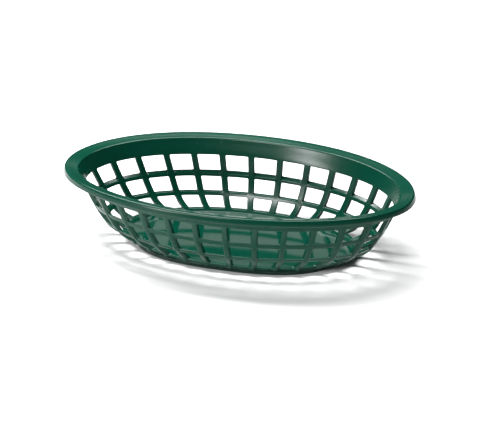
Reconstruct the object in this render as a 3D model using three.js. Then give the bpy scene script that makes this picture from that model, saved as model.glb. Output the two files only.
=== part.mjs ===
// Oval serving basket in green plastic: a flanged rim, a solid upper band, an open
// wall of upright ribs crossed by two hoops, a base ledge, a foot ring and a floor.
// Millimetres, +Z up, +X along the long axis, origin under the middle of the foot.

import * as THREE from 'three';
import { mergeVertices } from 'three/addons/utils/BufferGeometryUtils.js';

// ---- driving dimensions ----------------------------------------------------
const HALF_LENGTH = 120.65;     // rim, half of the long axis
const HALF_WIDTH = 63.5;        // rim, half of the short axis
const HEIGHT = 50.8;            // table to the top of the rim at the long sides
const END_DROP = 2.3;           // how far the rim hangs lower at the two ends

const RIB_WIDTH = 4.1;
const END_NARROWING = 0.2;      // how much narrower the ribs are at the two ends
const RIB_DEPTH = 2.7;          // from the flush inner face to the proud outer face
const WALL = 2.0;               // thickness of the band
const HOOP = 1.8;               // thickness of the two hoops
const GAP = 0.35;               // clearance kept between neighbouring members

const BAND_TOP = 47.4, BAND_BOTTOM = 38.85;
const UPPER_HOOP_TOP = 28.15, UPPER_HOOP_BOTTOM = 24.5;
const LOWER_HOOP_TOP = 15.3, LOWER_HOOP_BOTTOM = 12.75;
const LEDGE_TOP = 5.8, LEDGE_BOTTOM = 3.2;
const LEDGE_WIDTH = 5.6;        // from the ledge's outer edge to the floor
const FOOT_LENGTH = 70.5, FOOT_WIDTH = 39, FOOT_POWER = 2.5; // half sizes of the foot's squarer oval
const FOOT_WALL = 2.0;
const FLOOR_TOP = 4.4;          // a little below the ledge

const TURN = 56;                // facets round a ring

// where the ribs stand on each quarter of the oval, as shares of the quarter's
// length, from the middle of a long side (0) to the end of the long axis (1)
const RIB_STATIONS = [0.0796, 0.2360, 0.3860, 0.5310, 0.6790, 0.8140, 0.9380];

// inner face of the wall: height, inset from the rim at the side, inset at the end
const INNER_FACE = [
  [47.4, 8.6, 10.9], [38.85, 11.9, 15.0], [28.15, 13.9, 20.2], [24.5, 14.9, 22.0], [15.3, 18.5, 27.8],
  [12.75, 19.9, 30.0], [9.0, 22.3, 35.2], [6.9, 23.8, 39.6], [5.8, 24.6, 42.4], [4.1, 25.9, 44.4],
];

// ---- the oval --------------------------------------------------------------
const squared = (v, power) => Math.sign(v) * Math.abs(v) ** (2 / power);
const ovalPoint = (phi, end, side, power) => [(HALF_LENGTH - end) * squared(Math.cos(phi), power),
  (HALF_WIDTH - side) * squared(Math.sin(phi), power)];

// point of the oval with the given insets, by its share u of the perimeter from +X
const arcTables = new Map();
function ovalAt(u, end, side, power = 2) {
  const key = `${end.toFixed(4)} ${side.toFixed(4)} ${power}`, steps = 1440;
  if (!arcTables.has(key)) {
    const sums = [0];
    let last = ovalPoint(0, end, side, power);
    for (let i = 1; i <= steps; i++) {
      const p = ovalPoint((i / steps) * 2 * Math.PI, end, side, power);
      sums.push(sums[i - 1] + Math.hypot(p[0] - last[0], p[1] - last[1]));
      last = p;
    }
    arcTables.set(key, sums);
  }
  const sums = arcTables.get(key), target = (u - Math.floor(u)) * sums[steps];
  let lo = 0, hi = steps;
  while (hi - lo > 1) {
    const mid = (lo + hi) >> 1;
    if (sums[mid] <= target) lo = mid; else hi = mid;
  }
  const part = (target - sums[lo]) / (sums[hi] - sums[lo]);
  return ovalPoint(((lo + part) / steps) * 2 * Math.PI, end, side, power);
}

// corner of a section on the wall: height z, `out` of wall thickness outside the
// inner face. A corner is [end inset, side inset, z].
function onWall(z, out) {
  let i = 0;
  while (i < INNER_FACE.length - 2 && z < INNER_FACE[i + 1][0]) i++;
  const [z0, s0, e0] = INNER_FACE[i], [z1, s1, e1] = INNER_FACE[i + 1], t = (z - z0) / (z1 - z0);
  const before = INNER_FACE[Math.max(0, i - 1)], after = INNER_FACE[Math.min(INNER_FACE.length - 1, i + 2)];
  const fall = before[0] - after[0];
  const side = s0 + t * (s1 - s0) - out * Math.hypot(1, (after[1] - before[1]) / fall);
  const end = e0 + t * (e1 - e0) - out * Math.hypot(1, (after[2] - before[2]) / fall);
  return [end, side, z];
}
const even = (inset, z) => [inset, inset, z];

// height z less what it hangs lower towards the ends, at x on an oval with this end inset
const hung = (x, end, z) => z - END_DROP * Math.max(0, (z - LEDGE_TOP) / (HEIGHT - LEDGE_TOP)) * (x / (HALF_LENGTH - end)) ** 4;

// ---- solids ----------------------------------------------------------------
function closed(geometry) {
  geometry.deleteAttribute('normal');
  geometry.deleteAttribute('uv');
  const g = mergeVertices(geometry, 1e-4);
  const p = g.attributes.position, old = g.index.array, index = [];
  for (let i = 0; i < old.length; i += 3) {
    const [a, b, c] = [old[i], old[i + 1], old[i + 2]];
    if (a !== b && b !== c && c !== a) index.push(a, b, c);
  }
  const v = (i) => new THREE.Vector3().fromBufferAttribute(p, i);
  let volume = 0;
  for (let i = 0; i < index.length; i += 3) volume += v(index[i]).dot(v(index[i + 1]).cross(v(index[i + 2])));
  if (volume < 0) for (let i = 0; i < index.length; i += 3) [index[i], index[i + 1]] = [index[i + 1], index[i]];
  g.setIndex(index);
  g.computeVertexNormals();
  return g;
}

// a turned blank, bent onto the oval: place(column, corner) gives each point
function turned(profile, place) {
  const g = new THREE.LatheGeometry(profile, TURN);
  const p = g.attributes.position, n = profile.length;
  for (let i = 0; i < p.count; i++) p.setXYZ(i, ...place((Math.floor(i / n) % TURN) / TURN, i % n));
  return closed(g);
}

// a closed section of corners carried round the oval
function ring(section) {
  const loop = [...section, section[0]];
  return turned(loop.map(([end, , z]) => new THREE.Vector2(200 - end, z)), (u, j) => {
    const [end, side, z, power] = loop[j], [x, y] = ovalAt(u, end, side, power);
    return [x, y, hung(x, end, z)];
  });
}

// a flat plate inside the oval with the given insets
function plate(end, side, bottom, top) {
  const rows = [[0, bottom], [1, bottom], [1, top], [0, top]];
  return turned(rows.map(([share, z]) => new THREE.Vector2(share, z)), (u, j) => {
    const [x, y] = ovalAt(u, end, side);
    return [x * rows[j][0], y * rows[j][0], rows[j][1]];
  });
}

// an upright rib: its side view, notched where the hoops pass, extruded to its width
const [ledgeEnd, ledgeSide] = onWall(LEDGE_TOP, 1.6);
const ribCorners = (() => {
  const inner = [], outer = [[ledgeEnd - 1.9, ledgeSide - 1.9, 4.7]];
  const tip = (z) => [ledgeEnd - GAP, ledgeSide - GAP, z];
  const notch = (top, bottom) => inner.push(onWall(top + GAP, 0), onWall(top + GAP, HOOP + GAP),
    onWall(bottom - GAP, HOOP + GAP), onWall(bottom - GAP, 0));
  inner.push(onWall(BAND_BOTTOM - GAP, 0), onWall(33.5, 0));
  notch(UPPER_HOOP_TOP, UPPER_HOOP_BOTTOM);
  inner.push(onWall(19.9, 0));
  notch(LOWER_HOOP_TOP, LOWER_HOOP_BOTTOM);
  inner.push(onWall(9.0, 0), onWall(LEDGE_TOP + GAP, 0), tip(LEDGE_TOP + GAP), tip(4.2));
  for (const z of [6.9, 9.0, 12.75, 15.3, 19.9, 24.5, 28.15, 33.5, BAND_BOTTOM - GAP]) outer.push(onWall(z, RIB_DEPTH));
  return [...inner, ...outer];
})();

function rib(u) {
  const width = RIB_WIDTH * (1 - END_NARROWING * (1 - 4 * (u % 0.5)) ** 2);
  const shape = new THREE.Shape(ribCorners.map(([, side, z]) => new THREE.Vector2(side, z)));
  const g = new THREE.ExtrudeGeometry(shape, { depth: width, bevelEnabled: false });
  const a = ovalAt(u - 0.002, 20, 14), b = ovalAt(u + 0.002, 20, 14);
  const len = Math.hypot(b[0] - a[0], b[1] - a[1]), tx = (b[0] - a[0]) / len, ty = (b[1] - a[1]) / len;
  const p = g.attributes.position;
  for (let i = 0; i < p.count; i++) {
    const corner = ribCorners.find(([, side, z]) => Math.abs(side - p.getX(i)) < 1e-3 && Math.abs(z - p.getY(i)) < 1e-3);
    const [x, y] = ovalAt(u, corner[0], corner[1]), s = p.getZ(i) - width / 2;
    p.setXYZ(i, x + tx * s, y + ty * s, hung(x, corner[0], corner[2]));
  }
  return closed(g);
}

// ---- assembly --------------------------------------------------------------
const basket = new THREE.Group();
function add(name, geometry) {
  const mesh = new THREE.Mesh(geometry, new THREE.MeshStandardMaterial({ color: 0x0b5f43, roughness: 0.28, metalness: 0 }));
  mesh.name = name;
  basket.add(mesh);
}

// rim: flange rising outward, rounded outer corner, turned-down lip, fillet into the wall
add('rim_flange', ring([
  even(0.0, HEIGHT - 3.7), even(0.34, HEIGHT - 2.3), even(0.72, HEIGHT - 0.9), even(1.25, HEIGHT - 0.18), even(2.0, HEIGHT), even(2.9, HEIGHT - 0.15),
  [7.7, 6.1, HEIGHT - 1.05], [9.1, 7.2, HEIGHT - 1.5], [10.6, 8.3, HEIGHT - 2.9],
  [9.1, 6.9, BAND_TOP], [8.1, 6.2, BAND_TOP], even(2.4, HEIGHT - 2.1), even(1.8, HEIGHT - 2.5), even(1.8, HEIGHT - 3.7), even(0.9, HEIGHT - 4.2),
]));

const band = (top, bottom, t) => [onWall(top, 0), onWall((top + bottom) / 2, 0), onWall(bottom, 0),
  onWall(bottom, t), onWall((top + bottom) / 2, t), onWall(top, t)];
add('upper_band', ring(band(BAND_TOP - 0.2, BAND_BOTTOM, WALL)));
add('upper_hoop', ring(band(UPPER_HOOP_TOP, UPPER_HOOP_BOTTOM, HOOP)));
add('lower_hoop', ring(band(LOWER_HOOP_TOP, LOWER_HOOP_BOTTOM, HOOP)));

add('base_ledge', ring([
  [ledgeEnd + LEDGE_WIDTH, ledgeSide + LEDGE_WIDTH, LEDGE_BOTTOM], [ledgeEnd + LEDGE_WIDTH, ledgeSide + LEDGE_WIDTH, FLOOR_TOP],
  [ledgeEnd + 2.4, ledgeSide + 2.3, FLOOR_TOP], [ledgeEnd + 2.05, ledgeSide + 1.9, LEDGE_TOP],
  [ledgeEnd + 0.6, ledgeSide + 0.6, LEDGE_TOP], [ledgeEnd, ledgeSide, LEDGE_TOP - 0.5],
  [ledgeEnd + 0.5, ledgeSide + 0.5, LEDGE_BOTTOM],
]));
const onFoot = (inset, z) => [HALF_LENGTH - FOOT_LENGTH + inset, HALF_WIDTH - FOOT_WIDTH + inset, z, FOOT_POWER];
add('foot_ring', ring([
  onFoot(FOOT_WALL, 0), onFoot(FOOT_WALL, LEDGE_BOTTOM - GAP), onFoot(0, LEDGE_BOTTOM - GAP), onFoot(0.2, 0),
]));
add('floor_plate', plate(ledgeEnd + LEDGE_WIDTH + GAP, ledgeSide + LEDGE_WIDTH + GAP, LEDGE_BOTTOM, FLOOR_TOP));

const quarter = RIB_STATIONS.map((s) => 0.25 * (1 - s));
const shares = [...quarter, ...quarter.map((u) => 0.5 - u), ...quarter.map((u) => 0.5 + u), ...quarter.map((u) => 1 - u)];
const stations = [...new Set(shares.map((u) => (u % 1).toFixed(6)))].map(Number).sort((a, b) => a - b);
stations.forEach((u, k) => add(`rib_${String(k + 1).padStart(2, '0')}`, rib(u)));

export default basket;
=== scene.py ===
# Oval open-sided serving basket in glossy dark green plastic, on a plain pale floor.
# Lengths in the shape code are millimetres, and are turned into metres when a mesh is made.

import math

import bpy
import numpy as np
from mathutils import Matrix, Quaternion, Vector


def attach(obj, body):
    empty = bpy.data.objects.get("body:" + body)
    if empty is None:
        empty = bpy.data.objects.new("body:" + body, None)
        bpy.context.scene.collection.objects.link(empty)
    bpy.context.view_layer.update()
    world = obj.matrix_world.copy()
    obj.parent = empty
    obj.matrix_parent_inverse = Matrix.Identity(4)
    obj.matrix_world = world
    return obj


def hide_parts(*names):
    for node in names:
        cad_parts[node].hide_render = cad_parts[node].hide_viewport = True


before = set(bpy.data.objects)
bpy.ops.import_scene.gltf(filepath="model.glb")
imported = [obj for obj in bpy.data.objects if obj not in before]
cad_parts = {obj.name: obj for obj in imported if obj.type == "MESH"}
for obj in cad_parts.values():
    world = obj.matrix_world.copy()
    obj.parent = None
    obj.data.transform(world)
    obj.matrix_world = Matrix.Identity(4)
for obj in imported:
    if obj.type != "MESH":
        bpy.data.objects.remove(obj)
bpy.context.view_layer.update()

# ---- driving dimensions ------------------------------------------------------
HALF_LENGTH, HALF_WIDTH, HEIGHT = 120.65, 63.5, 50.8
END_DROP = 2.3                  # how far the rim hangs lower at the two ends
RIB_WIDTH, RIB_DEPTH = 4.6, 2.5
END_NARROWING = 0.2             # how much narrower the ribs are at the two ends
RIB_SHARES = [1.0, 0.98, 0.88, 0.80, 0.68, 0.50]  # its width narrows outward, layer by layer
WALL = 2.0
BAND_BOTTOM = 38.85
UPPER_HOOP_TOP, UPPER_HOOP_BOTTOM = 28.15, 24.5
LOWER_HOOP_TOP, LOWER_HOOP_BOTTOM = 15.3, 12.75
LEDGE_TOP, LEDGE_BOTTOM = 5.8, 3.4
FLOOR_TOP, FLOOR_BOTTOM = 4.4, 3.0
FOOT_LENGTH, FOOT_WIDTH, FOOT_POWER = 70.5, 39.0, 2.5   # half sizes of the foot's squarer oval
RIB_STATIONS = [0.0796, 0.2360, 0.3860, 0.5310, 0.6790, 0.8140, 0.9380]
# inner face of the wall: height, inset from the rim at the side, inset at the end
INNER_FACE = np.array([
    [47.4, 8.6, 10.9], [38.85, 11.9, 15.0], [28.15, 13.9, 20.2], [24.5, 14.9, 22.0],
    [15.3, 18.5, 27.8], [12.75, 19.9, 30.0], [9.0, 22.3, 35.2], [6.9, 23.8, 39.6], [5.8, 24.6, 42.4], [4.1, 25.9, 44.4],
])[::-1]


# ---- the oval and the wall ---------------------------------------------------
def smooth(xs, ys):
    """A smooth curve through rising or falling points that doesn't overshoot. Gives value and slope."""
    h, d = np.diff(xs), np.diff(ys) / np.diff(xs)
    m = np.empty(len(xs))
    m[0], m[-1] = d[0], d[-1]
    for i in range(1, len(xs) - 1):
        if d[i - 1] * d[i] <= 0:
            m[i] = 0
        else:
            w1, w2 = 2 * h[i] + h[i - 1], h[i] + 2 * h[i - 1]
            m[i] = (w1 + w2) / (w1 / d[i - 1] + w2 / d[i])

    def at(x):
        if x <= xs[0]:
            return ys[0] + m[0] * (x - xs[0]), m[0]
        if x >= xs[-1]:
            return ys[-1] + m[-1] * (x - xs[-1]), m[-1]
        i = int(np.searchsorted(xs, x)) - 1
        t = (x - xs[i]) / h[i]
        a, b = ys[i], ys[i + 1]
        v = (a * (1 + 2 * t) + m[i] * h[i] * t) * (1 - t) ** 2 + (b * (3 - 2 * t) - m[i + 1] * h[i] * (1 - t)) * t * t
        s = (6 * t * t - 6 * t) * (a - b) / h[i] + m[i] * (1 - t) * (1 - 3 * t) + m[i + 1] * t * (3 * t - 2)
        return v, s
    return at


side_at = smooth(INNER_FACE[:, 0], INNER_FACE[:, 1])
end_at = smooth(INNER_FACE[:, 0], INNER_FACE[:, 2])


def on_wall(z, out):
    """(end inset, side inset, z) at height z, `out` of wall thickness outside the inner face."""
    e, de = end_at(z)
    s, ds = side_at(z)
    return (e - out * math.hypot(1, de), s - out * math.hypot(1, ds), z)


PHI = np.linspace(0, 2 * np.pi, 2881)


class Oval:
    """The oval with the given insets, walked by arc length."""
    def __init__(self, end, side, power=2.0):
        self.a, self.b, self.power = HALF_LENGTH - end, HALF_WIDTH - side, power
        x, y = self.xy(PHI)
        self.s = np.concatenate([[0], np.cumsum(np.hypot(np.diff(x), np.diff(y)))])
        self.length = self.s[-1]

    def xy(self, phi):
        c, s, q = np.cos(phi), np.sin(phi), 2 / self.power
        return self.a * np.sign(c) * np.abs(c) ** q, self.b * np.sign(s) * np.abs(s) ** q

    def at(self, u, z):
        """Points at the shares u of the perimeter, at height z less the drop at the ends."""
        phi = np.interp((np.asarray(u) % 1) * self.length, self.s, PHI)
        drop = END_DROP * max(0.0, (z - LEDGE_TOP) / (HEIGHT - LEDGE_TOP))
        return np.stack([*self.xy(phi), z - drop * np.cos(phi) ** 4], -1)


quarter = [0.25 * (1 - s) for s in RIB_STATIONS]
RIBS = sorted({round(v % 1, 6) for u in quarter for v in (u, 0.5 - u, 0.5 + u, 1 - u)})
N_RIBS = len(RIBS)

# ---- the wall's cage: columns round the oval ---------------------------------
# each column is (rib, kind, value): across a rib by a share of its half width, or across
# the window after it by distance from the near rib edge or by share of the window
RIB_LINES = [-1, -0.5, 0, 0.5, 1]
GAP_LINES = [("from", 1.0), ("share", 0.2), ("share", 0.4), ("share", 0.6), ("share", 0.8), ("to", 1.0)]
PER = len(RIB_LINES) + len(GAP_LINES)
N_COL = PER * N_RIBS


def slim(u):
    """Width of the rib at u, as a share of the widest."""
    return 1 - END_NARROWING * (1 - 4 * (u % 0.5)) ** 2


def column_shares(oval, half):
    """u of every column on this oval, for ribs of this half width."""
    out = []
    for k, u in enumerate(RIBS):
        nxt = RIBS[(k + 1) % N_RIBS] + (1 if k == N_RIBS - 1 else 0)
        h = RIB_WIDTH / 2 / oval.length
        out += [u + v * half * slim(u) / oval.length for v in RIB_LINES]
        lo, hi = u + h * slim(u), nxt - h * slim(nxt)
        edge = min(1.0, 0.28 * (hi - lo) * oval.length) / oval.length
        for kind, v in GAP_LINES:
            if kind == "from":
                out.append(lo + edge)
            elif kind == "to":
                out.append(hi - edge)
            else:
                out.append(lo + edge + (v - 0.1) / 0.8 * (hi - lo - 2 * edge))
    return np.array(out)


# ---- the wall's cage: section of rows (down) by layers (outward) --------------
LAYERS = [0.0, 0.5, 1.5, 2.0, 2.3, RIB_DEPTH]
ROWS = [  # heights of the rows below the rim, inner and outer
    (46.2, 47.3), (44.9, 46.2), (43.3, 44.2), (41.8, 42.1), (40.4, 40.4), (39.4, 39.4), (BAND_BOTTOM, BAND_BOTTOM),
    37.85, 36.0, 33.5, 31.0, 29.15, UPPER_HOOP_TOP,
    26.6, 25.05, UPPER_HOOP_BOTTOM,
    23.5, 21.3, 18.4, 16.3, LOWER_HOOP_TOP,
    13.9, 13.2, LOWER_HOOP_BOTTOM,
    11.75, 10.2, 8.2, 6.8, LEDGE_TOP,
    5.25, 4.1, LEDGE_BOTTOM,
]
FIRST = 3                       # the first of these is row 3 of the cage
N_ROW = FIRST + len(ROWS)
row_of = {r: FIRST + i for i, r in enumerate(ROWS) if not isinstance(r, tuple)}
R_BAND = FIRST + 6
SOLID_ROWS = [(FIRST, R_BAND), (row_of[UPPER_HOOP_TOP], row_of[UPPER_HOOP_BOTTOM]),
              (row_of[LOWER_HOOP_TOP], row_of[LOWER_HOOP_BOTTOM]), (row_of[LEDGE_TOP], row_of[LEDGE_BOTTOM])]
N_LAY = 11

section = {}
H = HEIGHT
# flange top, from the inner corner to the outer corner
for k, (e, s, h) in enumerate([(10.2, 7.8, -1.46), (9.5, 7.3, -1.33), (8.7, 6.8, -1.2), (7.6, 6.2, -1.03), (6.2, 5.5, -0.83),
                               (4.9, 4.7, -0.58), (4.4, 4.3, -0.47), (3.5, 3.5, -0.26), (2.7, 2.7, -0.08), (2.0, 2.0, 0.0), (1.25, 1.25, -0.14)]):
    section[0, k] = (e, s, H + h)
# inner face just below the corner, and outer face of the lip
for r, (h_in, h_out) in enumerate([(-2.25, -0.72), (-3.4, -1.45)], 1):
    section[r, 0] = on_wall(H + h_in, 0)
    section[r, 10] = ((0.78, 0.56)[r - 1], (0.78, 0.56)[r - 1], H + h_out)
# underside of the flange
for k, (e, s, h) in {3: (8.3, 6.5, -3.35), 4: (7.2, 5.8, -3.1), 5: (5.6, 4.6, -2.8), 6: (3.9, 3.6, -2.44), 7: (1.85, 1.85, -2.0), 10: (0.36, 0.36, -2.25)}.items():
    section[3, k] = (e, s, H + h)
# lip
for r, pts in {4: {7: (1.8, -2.9), 10: (0.16, -3.0)}, 5: {7: (1.72, -3.75), 10: (0.0, -3.75)},
               6: {7: (1.6, -4.2), 8: (1.2, -4.25), 9: (0.5, -4.25), 10: (0.12, -4.2)}}.items():
    for k, (d, h) in pts.items():
        section[r, k] = (d, d, H + h)
ledge_end, ledge_side, _ = on_wall(LEDGE_TOP, 1.6)
for i, row in enumerate(ROWS):
    r = FIRST + i
    z_in, z_out = row if isinstance(row, tuple) else (row, row)
    for k, n in enumerate(LAYERS):
        if (r, k) in section:
            continue
        t = n / WALL if n < WALL else 1.0
        section[r, k] = on_wall(z_in + (z_out - z_in) * t, n)
# the hoops' tops slope down to the inside
for top, mid, falls in ((UPPER_HOOP_TOP, 26.6, [1.65, 1.2, 0.15, -0.3]), (LOWER_HOOP_TOP, 13.9, [0.25, 0.15, 0.0, -0.1])):
    for k, fall in enumerate(falls):
        section[row_of[top], k] = on_wall(top - fall, LAYERS[k])
        section[row_of[mid], k] = on_wall(mid - 0.35 * fall, LAYERS[k])
# the ribs stand out of the band gradually
for r, (n4, n5) in {R_BAND - 3: (2.0, 2.02), R_BAND - 2: (2.04, 2.08), R_BAND - 1: (2.08, 2.16), R_BAND: (2.14, 2.28), R_BAND + 1: (2.22, 2.4)}.items():
    z_row = section[r, 3][2]
    section[r, 4], section[r, 5] = on_wall(z_row, n4), on_wall(z_row, n5)
# the ledge's outer face turns in under itself, and the rib tips with it
for r, (inset, z) in {row_of[5.25]: (0.0, 5.25), row_of[4.1]: (0.3, 4.1), row_of[LEDGE_BOTTOM]: (0.75, LEDGE_BOTTOM)}.items():
    e0, s0, _ = section[r, 0]
    for k in (1, 2, 3):
        t = {1: 0.25, 2: 0.75, 3: 1.0}[k]
        section[r, k] = (e0 + t * (ledge_end + inset - e0), s0 + t * (ledge_side + inset - s0), z)
for r, (n4, n5, z) in {row_of[5.25]: (1.0, 1.5, 5.25), row_of[4.1]: (0.75, 1.2, 4.3), row_of[LEDGE_BOTTOM]: (0.1, 0.55, 3.75)}.items():
    section[r, 4] = (ledge_end - n4, ledge_side - n4, z)
    section[r, 5] = (ledge_end - n5, ledge_side - n5, z)


def filled(c, r, k):
    """Is the cell between columns c and c+1, rows r and r+1, layers k and k+1 solid?"""
    if r < 0 or k < 0 or r >= N_ROW - 1 or k >= N_LAY - 1:
        return False
    if r < FIRST:
        return True
    if r < FIRST + 3 and k >= 7:
        return True
    rib = c % PER < len(RIB_LINES) - 1
    if k < 3:
        return rib or any(a <= r < b for a, b in SOLID_ROWS)
    return k < 5 and rib and r >= R_BAND - 3


def wall_mesh():
    cols = {}

    def place(r, k):
        if (r, k) not in cols:
            e, s, z = section[r, k]
            oval = Oval(e, s)
            half = RIB_WIDTH / 2 * (RIB_SHARES[k] if r >= R_BAND - 3 and k < len(RIB_SHARES) else 1)
            cols[r, k] = oval.at(column_shares(oval, half), z)
        return cols[r, k]

    index, points, flow, faces = {}, [], [], []

    def vert(c, r, k):
        key = (c % N_COL, r, k)
        if key not in index:
            index[key] = len(points)
            x, y, z = place(r, k)[key[0]]
            e, s, z0 = section[r, k]
            points.append((x, y, z))
            flow.append((x / (HALF_LENGTH - e), y / (HALF_WIDTH - s), z0 - s))
        return index[key]

    for c in range(N_COL):
        for r in range(N_ROW - 1):
            for k in range(N_LAY - 1):
                if not filled(c, r, k):
                    continue
                for (dc, dr, dk), quad in (
                    ((0, 0, -1), [(0, 0, 0), (0, 1, 0), (1, 1, 0), (1, 0, 0)]),
                    ((0, 0, 1), [(0, 0, 1), (1, 0, 1), (1, 1, 1), (0, 1, 1)]),
                    ((0, -1, 0), [(0, 0, 0), (1, 0, 0), (1, 0, 1), (0, 0, 1)]),
                    ((0, 1, 0), [(0, 1, 0), (0, 1, 1), (1, 1, 1), (1, 1, 0)]),
                    ((-1, 0, 0), [(0, 0, 0), (0, 0, 1), (0, 1, 1), (0, 1, 0)]),
                    ((1, 0, 0), [(1, 0, 0), (1, 1, 0), (1, 1, 1), (1, 0, 1)]),
                ):
                    if filled((c + dc) % N_COL, r + dr, k + dk):
                        continue
                    faces.append([vert(c + a, r + b, k + d) for a, b, d in quad])
    return np.array(points), faces, np.array(flow)


def ring_mesh(profile, n):
    """A profile of (end, side, z, power) carried round the oval in n even columns, open at both ends of the list."""
    pts, faces = [], []
    for e, s, z, power in profile:
        pts.append(Oval(e, s, power).at(np.arange(n) / n, z))
    m = len(profile)
    for j in range(m - 1):
        for i in range(n):
            a, b = j * n + i, j * n + (i + 1) % n
            faces.append([a, b, b + n, a + n])
    return np.concatenate(pts), faces


def disc_fill(points, faces, loop, flip, dome):
    """Fills a loop of 4m points with an m by m grid of quads, bulged by `dome`."""
    m = len(loop) // 4
    P = points[loop]
    s1, s2 = P[0:m + 1], P[m:2 * m + 1]
    s3, s4 = P[2 * m:3 * m + 1][::-1], np.concatenate([P[3 * m:], P[:1]])[::-1]
    ids = np.zeros((m + 1, m + 1), int)
    new = []
    base = len(points)
    lp = list(loop)
    for i in range(m + 1):
        for j in range(m + 1):
            if j == 0:
                ids[i, j] = lp[i]
            elif i == m:
                ids[i, j] = lp[m + j]
            elif j == m:
                ids[i, j] = lp[3 * m - i]
            elif i == 0:
                ids[i, j] = lp[(4 * m - j) % (4 * m)]
            else:
                u, v = i / m, j / m
                p = ((1 - v) * s1[i] + v * s3[i] + (1 - u) * s4[j] + u * s2[j]
                     - ((1 - u) * (1 - v) * s1[0] + u * (1 - v) * s1[m] + u * v * s2[m] + (1 - u) * v * s3[0]))
                p = p.copy()
                p[2] += dome * (math.sin(math.pi * u) * math.sin(math.pi * v))
                ids[i, j] = base + len(new)
                new.append(p)
    for i in range(m):
        for j in range(m):
            q = [ids[i, j], ids[i + 1, j], ids[i + 1, j + 1], ids[i, j + 1]]
            faces.append(q[::-1] if flip else q)
    return np.concatenate([points, np.array(new)]), faces


def base_mesh():
    """Floor with its upturned edge, and the foot ring under it."""
    E, S = ledge_end, ledge_side
    FE, FS = HALF_LENGTH - FOOT_LENGTH, HALF_WIDTH - FOOT_WIDTH

    def at(d, z):
        return (E + d, S + d, z, 2.0)

    def foot(d, z, t=1.0):
        """On the foot's own oval, or a share t of the way to it from the floor's edge."""
        return (E + 1.1 + t * (FE + d - E - 1.1), S + 1.1 + t * (FS + d - S - 1.1), z, 2.0 + t * (FOOT_POWER - 2.0))
    profile = [
        at(9.0, FLOOR_TOP), at(5.0, FLOOR_TOP), at(3.4, FLOOR_TOP), at(2.9, FLOOR_TOP + 0.05), at(2.45, FLOOR_TOP + 0.35), at(2.1, FLOOR_TOP + 0.95),
        at(1.5, FLOOR_TOP + 0.9), at(1.1, FLOOR_TOP - 0.1), at(1.0, 3.5), at(1.3, FLOOR_BOTTOM + 0.05), foot(-0.3, FLOOR_BOTTOM, 0.35), foot(-0.3, FLOOR_BOTTOM - 0.02, 0.75),
        foot(-0.35, FLOOR_BOTTOM - 0.1), foot(-0.05, FLOOR_BOTTOM - 0.4), foot(0.0, 1.8), foot(0.02, 0.9), foot(0.06, 0.4), foot(0.25, 0.0), foot(0.6, 0.0),
        foot(1.4, 0.0), foot(1.75, 0.0), foot(1.95, 0.4), foot(2.0, 1.1), foot(2.05, 2.1), foot(2.15, 2.65), foot(2.6, FLOOR_BOTTOM), foot(4.2, FLOOR_BOTTOM), foot(8.0, FLOOR_BOTTOM),
    ]
    n = 208
    pts, faces = ring_mesh(profile, n)
    shift = n // 8
    top = np.roll(np.arange(n), -shift)
    bottom = np.roll(np.arange(n) + (len(profile) - 1) * n, -shift)
    pts, faces = disc_fill(pts, faces, top, False, 0.0)
    pts, faces = disc_fill(pts, faces, bottom, True, 0.0)
    x, y, z = pts.T
    flow = np.stack([x / 85, y / 45, z + 36 * np.hypot(x / 80, y / 41)], -1)
    return pts, faces, flow


def make(name, pts, faces, flow, levels):
    me = bpy.data.meshes.new(name)
    me.from_pydata((pts * 0.001).tolist(), [], [list(f) for f in faces])
    me.validate()
    me.update()
    ob = bpy.data.objects.new(name, me)
    bpy.context.scene.collection.objects.link(ob)
    # faces out
    import bmesh
    bm = bmesh.new()
    bm.from_mesh(me)
    bmesh.ops.recalc_face_normals(bm, faces=bm.faces)
    bm.to_mesh(me)
    bm.free()
    me.polygons.foreach_set("use_smooth", np.ones(len(me.polygons), bool))
    # round the oval (as cosine and sine) and across the section, for marks that follow the moulding
    me.attributes.new("flow", "FLOAT_VECTOR", "POINT").data.foreach_set("vector", flow.astype(np.float32).ravel())
    sub = ob.modifiers.new("rounding", "SUBSURF")
    sub.levels = sub.render_levels = levels
    return ob


wall = make("basket_wall", *wall_mesh(), 1)
base = make("basket_base", *base_mesh(), 1)

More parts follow.
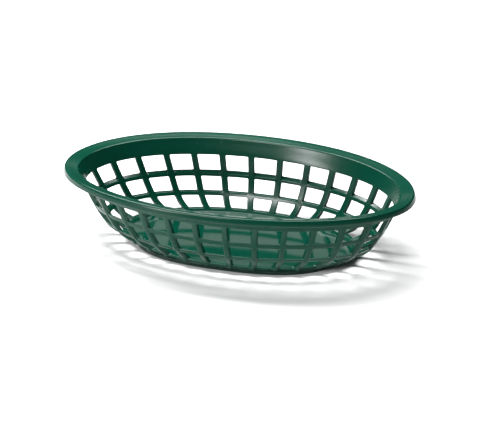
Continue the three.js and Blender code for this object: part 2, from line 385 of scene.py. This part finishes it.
# ---- material ----------------------------------------------------------------
def plastic(name, dark, light, shine, gloss, dull, fine):
    """Glossy moulded plastic: mottled colour, flow lines round the basket, rubbed spots, fine grain, and a painted
    shade that darkens the colour near the foot.
    """
    m = bpy.data.materials.new(name)
    m.use_nodes = True
    nt = m.node_tree
    bsdf = nt.nodes["Principled BSDF"]
    bsdf.inputs["IOR"].default_value = 1.5
    bsdf.inputs["Specular IOR Level"].default_value = shine

    def node(kind, **kw):
        n = nt.nodes.new(kind)
        for k, v in kw.items():
            if isinstance(v, bpy.types.NodeSocket):
                nt.links.new(v, n.inputs[k])
            elif k in n.inputs:
                n.inputs[k].default_value = v
            else:
                setattr(n, k, v)
        return n

    def noise(vector, scale, detail, rough):
        return node("ShaderNodeTexNoise", Vector=vector, Scale=scale, Detail=detail, Roughness=rough).outputs["Fac"]

    def span(value, a, b, c, d):
        n = node("ShaderNodeMapRange", Value=value)
        for k, v in zip(("From Min", "From Max", "To Min", "To Max"), (a, b, c, d)):
            n.inputs[k].default_value = v
        return n.outputs["Result"]

    def math2(op, a, b):
        n = node("ShaderNodeMath", operation=op)
        for k, v in enumerate((a, b)):
            if isinstance(v, bpy.types.NodeSocket):
                nt.links.new(v, n.inputs[k])
            else:
                n.inputs[k].default_value = v
        return n.outputs[0]

    def blend(fac, a, b):
        n = node("ShaderNodeMix", data_type="RGBA")
        nt.links.new(fac, n.inputs[0])
        for k, v in ((6, a), (7, b)):
            if isinstance(v, bpy.types.NodeSocket):
                nt.links.new(v, n.inputs[k])
            else:
                n.inputs[k].default_value = (*v, 1)
        return n.outputs[2]

    place = node("ShaderNodeTexCoord").outputs["Object"]
    flow = node("ShaderNodeAttribute", attribute_name="flow").outputs["Vector"]
    lines_at = node("ShaderNodeMapping", Vector=flow, Scale=(1.6, 1.6, 1.5)).outputs["Vector"]

    mottle = noise(place, 38.0, 4.0, 0.6)
    lines = noise(lines_at, 1.0, 5.0, 0.62)
    grain = noise(place, 1500.0, 2.0, 0.5)
    rubbed = span(noise(place, 240.0, 6.0, 0.7), 0.60, 0.74, 0.0, 1.0)

    tone = math2("ADD", span(mottle, 0.3, 0.7, 0.0, 0.6), span(lines, 0.25, 0.75, 0.0, 0.4))
    colour = blend(tone, dark, light)
    colour = blend(math2("MULTIPLY", rubbed, 0.06), colour, (0.08, 0.18, 0.14))
    # painted shade: the colour darkens towards the foot, standing in for the shadow under the basket
    height_up = node("ShaderNodeSeparateXYZ", Vector=place).outputs["Z"]
    painted_foot_shade = math2("MULTIPLY", span(height_up, 0.0022, 0.0046, 0.85, 0.0), span(mottle, 0.3, 0.7, 0.75, 1.0))
    colour = blend(painted_foot_shade, colour, (0.003, 0.012, 0.009))
    nt.links.new(colour, bsdf.inputs["Base Color"])

    rough = math2("ADD", span(lines, 0.3, 0.7, gloss, dull), math2("MULTIPLY", rubbed, 0.10))
    nt.links.new(rough, bsdf.inputs["Roughness"])

    height = math2("ADD", math2("MULTIPLY", grain, 0.30), math2("MULTIPLY", lines, 0.12))
    bump = node("ShaderNodeBump", Height=height, Strength=fine, Distance=0.0004)
    nt.links.new(bump.outputs["Normal"], bsdf.inputs["Normal"])
    return m


wall.data.materials.append(plastic("green_polypropylene", (0.0006, 0.042, 0.0235), (0.0010, 0.052, 0.031), 0.27, 0.17, 0.24, 0.10))
base.data.materials.append(plastic("green_polypropylene_floor", (0.0006, 0.039, 0.0215), (0.0010, 0.048, 0.029), 0.38, 0.05, 0.09, 0.03))

for ob in (wall, base):
    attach(ob, "root")
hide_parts("rim_flange", "upper_band", "upper_hoop", "lower_hoop", "base_ledge", *[f"rib_{i:02d}" for i in range(1, 29)])
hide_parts("foot_ring", "floor_plate")

# ---- floor -------------------------------------------------------------------
me = bpy.data.meshes.new("studio_floor")
w = 3.0
me.from_pydata([(-w, -w, 0), (w, -w, 0), (w, w, 0), (-w, w, 0)], [], [(0, 1, 2, 3)])
floor = bpy.data.objects.new("studio_floor", me)
bpy.context.scene.collection.objects.link(floor)
fmat = bpy.data.materials.new("pale_paper")
fmat.use_nodes = True
fb = fmat.node_tree.nodes["Principled BSDF"]
fb.inputs["Base Color"].default_value = (0.93, 0.93, 0.93, 1)
fb.inputs["Roughness"].default_value = 0.9
floor.data.materials.append(fmat)

# ---- camera ------------------------------------------------------------------
AZ, EL, ROLL = math.radians(21.7), math.radians(25.85), math.radians(-2.45)
DIST, F_PX = 2.5347, 3874.0
back = Vector((math.sin(AZ) * math.cos(EL), -math.cos(AZ) * math.cos(EL), math.sin(EL)))
right = Vector((math.cos(AZ), math.sin(AZ), 0))
up = back.cross(right)
right2 = math.cos(ROLL) * right + math.sin(ROLL) * up
up2 = -math.sin(ROLL) * right + math.cos(ROLL) * up
aim = Vector((0, 0, 0.02664))
px = DIST / F_PX
aim_centre = aim + right2 * ((239.5 - 238.4) * px) - up2 * ((215.0 - 207.8) * px)
cam = bpy.data.cameras.new("camera")
cam.sensor_fit = "HORIZONTAL"
cam.sensor_width = 36.0
cam.lens = F_PX * 36.0 / 480.0
cam.clip_end = 20
camera = bpy.data.objects.new("camera", cam)
rot = Matrix((right2, up2, back)).transposed()
camera.matrix_world = Matrix.Translation(aim_centre + back * DIST) @ rot.to_4x4()
bpy.context.scene.collection.objects.link(camera)
bpy.context.scene.camera = camera

# ---- light -------------------------------------------------------------------
world = bpy.data.worlds.new("studio")
bpy.context.scene.world = world
world.use_nodes = True
world.node_tree.nodes["Background"].inputs["Color"].default_value = (1, 1, 1, 1)
world.node_tree.nodes["Background"].inputs["Strength"].default_value = 0.04


def softbox(name, at, size, glow, lean=0.0, aim_at=(0, 0, 0.03)):
    """A rectangle of even brightness `glow`, turned to the basket."""
    la = bpy.data.lights.new(name, "AREA")
    la.shape = "RECTANGLE"
    la.size, la.size_y = size
    la.energy = math.pi * size[0] * size[1] * glow
    ob = bpy.data.objects.new(name, la)
    d = Vector(aim_at) - Vector(at)
    ob.rotation_euler = (d.to_track_quat("-Z", "Y") @ Quaternion((0, 0, 1), math.radians(lean))).to_euler()
    ob.location = at
    bpy.context.scene.collection.objects.link(ob)
    return ob


softbox("overhead", (-0.31, 0.25, 0.76), (1.0, 0.30), 17.0, aim_at=(-0.31, 0.25, 0))
softbox("left_high", (-0.58, 0.13, 0.96), (0.15, 0.70), 18.0)
softbox("left_low", (-0.70, -0.97, 0.29), (0.18, 0.30), 25.0, lean=-20)
softbox("front_wide", (-0.47, -1.03, 0.72), (0.45, 0.13), 38.0)
softbox("back_strip", (-0.51, 1.34, 0.675), (0.30, 0.13), 0.9)

sc = bpy.context.scene
sc.view_settings.view_transform = "Standard"
sc.view_settings.look = "None"

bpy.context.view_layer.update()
